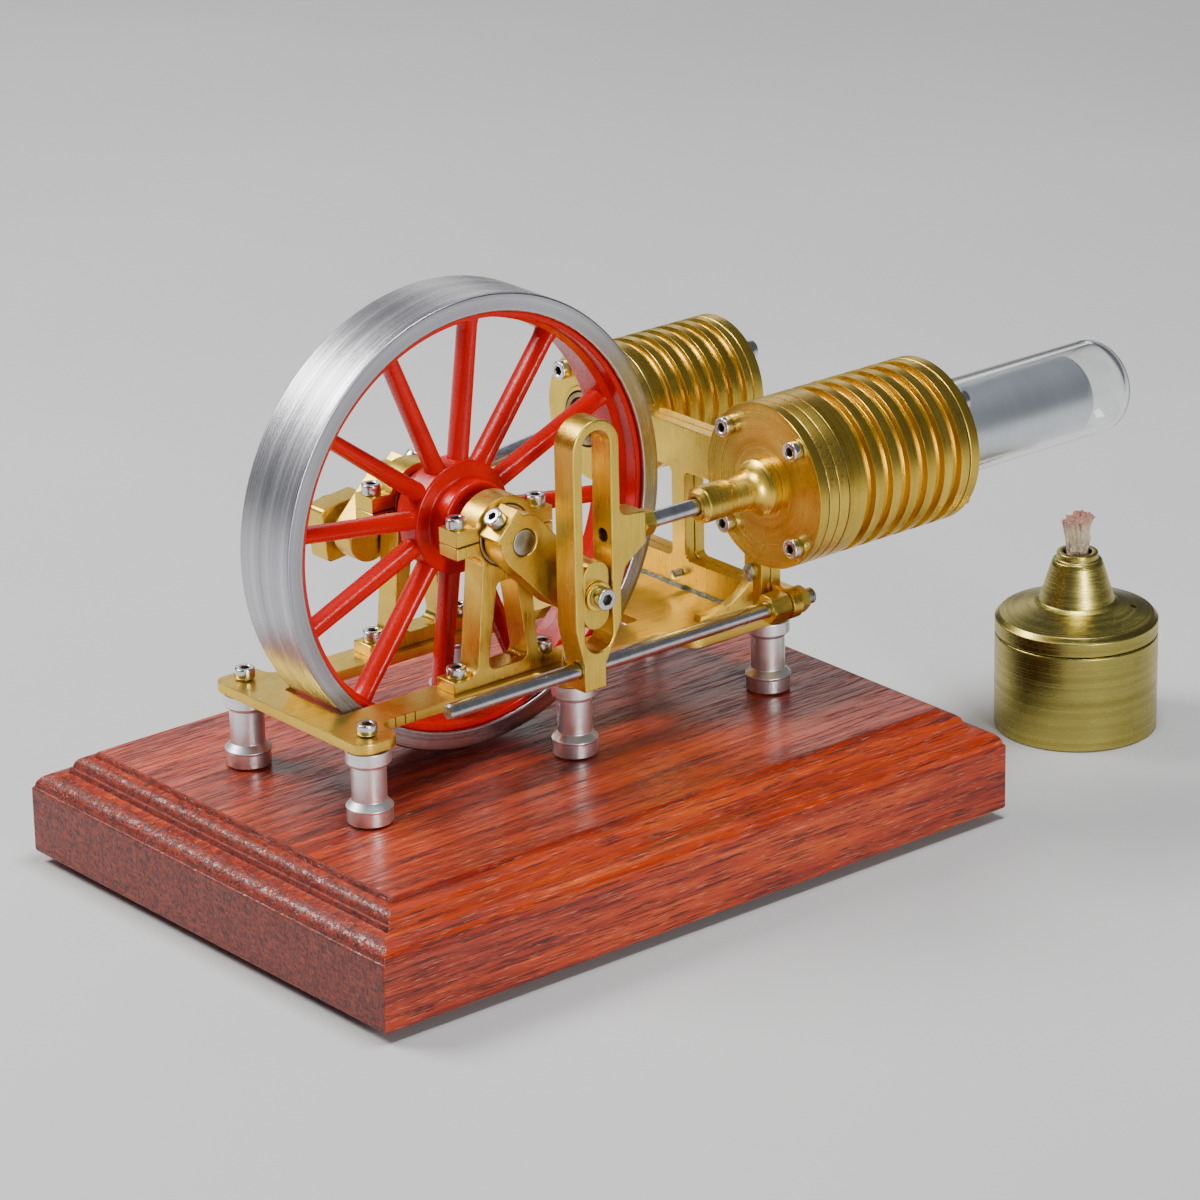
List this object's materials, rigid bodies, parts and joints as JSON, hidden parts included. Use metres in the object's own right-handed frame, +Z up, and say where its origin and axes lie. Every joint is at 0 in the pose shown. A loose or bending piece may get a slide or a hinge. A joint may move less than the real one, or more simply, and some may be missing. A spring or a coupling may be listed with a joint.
{
  "type": "model hot-air engine",
  "caption": "Model hot-air engine: spoked flywheel between two cranks, scotch yoke and displacer rod into a finned cylinder with a glass hot tube, a power piston, a moulded plinth and a burner",
  "frame": {"origin": "on the table under the middle of the whole set's plan, the burner included", "axes": "+X runs from the flywheel towards the hot tube and the burner, +Y to the power cylinder's side at the rear, +Z up"},
  "size_m": [0.2046, 0.106, 0.1085],
  "materials": {
    "bearing_bronze": "dull oiled bronze",
    "burner_brass": "greenish turned brass with tarnish near the neck",
    "displacer_aluminium": "satin aluminium",
    "foot_rubber": "matt black rubber",
    "plate_brass": "bright brass plate with brushed and filed faces",
    "plinth_wood": "red stained and varnished open-grain hardwood",
    "post_aluminium": "polished turned aluminium",
    "rod_steel": "bright ground steel",
    "screw_steel": "bright steel",
    "tube_glass": "clear heat-proof glass",
    "turned_brass": "bright turned brass",
    "tyre_steel": "bright turned steel",
    "wheel_enamel": "glossy red enamel",
    "wick_cotton": "braided cotton, scorched at the top"
  },
  "bodies": {
    "engine": {"plinth": "plinth_wood", "foot_front_left": "foot_rubber", "foot_front_right": "foot_rubber", "foot_rear_left": "foot_rubber", "foot_rear_right": "foot_rubber", "deck": "plate_brass", "post_front_left": "post_aluminium", "post_front_middle": "post_aluminium", "post_front_right": "post_aluminium", "post_rear_left": "post_aluminium", "post_rear_middle": "post_aluminium", "post_rear_right": "post_aluminium", "deck_screw_front_left": "screw_steel", "deck_screw_front_middle": "screw_steel", "deck_screw_rear_left": "screw_steel", "deck_screw_rear_middle": "screw_steel", "pedestal_front": "plate_brass", "pedestal_rear": "plate_brass", "bearing_cap_front": "plate_brass", "bearing_cap_rear": "plate_brass", "bearing_front": "bearing_bronze", "bearing_rear": "bearing_bronze", "guide_rod": "rod_steel", "guide_nut": "plate_brass", "rod_gland": "turned_brass", "displacer_cover": "turned_brass", "cover_screw_1": "screw_steel", "cover_screw_2": "screw_steel", "cover_screw_3": "screw_steel", "cover_screw_4": "screw_steel", "support_plate_front": "plate_brass", "support_plate_rear": "plate_brass", "displacer_cooler": "turned_brass", "tube_flange": "turned_brass", "hot_tube": "tube_glass", "power_cylinder": "turned_brass", "power_head": "turned_brass"},
    "crank": {"crankshaft": "rod_steel", "flywheel_tyre": "tyre_steel", "flywheel_centre": "wheel_enamel", "crank_web_front": "plate_brass", "crank_web_rear": "plate_brass", "crank_set_screw_front": "screw_steel", "crank_set_screw_rear": "screw_steel"},
    "yoke": {"yoke": "plate_brass", "rod_lock_nut": "plate_brass", "displacer_rod": "rod_steel", "displacer": "displacer_aluminium"},
    "slider": {"slider_block": "plate_brass", "crank_pin_front": "screw_steel"},
    "piston": {"piston": "bearing_bronze", "wrist_pin": "rod_steel"},
    "conrod": {"conrod": "rod_steel", "big_end": "plate_brass", "crank_pin_rear": "screw_steel"},
    "burner": {"burner_body": "burner_brass"},
    "lid": {"burner_lid": "burner_brass", "wick": "wick_cotton"}
  },
  "joints": [
    {"name": "crank_turn", "type": "hinge", "parent": "engine", "child": "crank", "pos_m": [-0.04052, 0.0036, 0.066], "axis": [0, 1, 0], "continuous": true},
    {"name": "displacer_slide", "type": "slide", "parent": "engine", "child": "yoke", "axis": [1, 0, 0], "range_m": [-0.02355, 0.00445]},
    {"name": "slider_slide", "type": "slide", "parent": "yoke", "child": "slider", "axis": [0, 0, 1], "range_m": [-0.00376, 0.02424]},
    {"name": "piston_slide", "type": "slide", "parent": "engine", "child": "piston", "axis": [1, 0, 0], "range_m": [-0.00231, 0.01769]},
    {"name": "conrod_swing", "type": "hinge", "parent": "piston", "child": "conrod", "pos_m": [0.01379, 0.0284, 0.066], "axis": [0, 1, 0], "range_deg": [-2.97, 15.6]},
    {"name": "burner_slide", "type": "slide", "parent": "engine", "child": "burner", "axis": [1, 0, 0], "range_m": [-0.02, 0.06]},
    {"name": "lid_lift", "type": "slide", "parent": "burner", "child": "lid", "axis": [0, 0, 1], "range_m": [0, 0.01]}
  ]
}
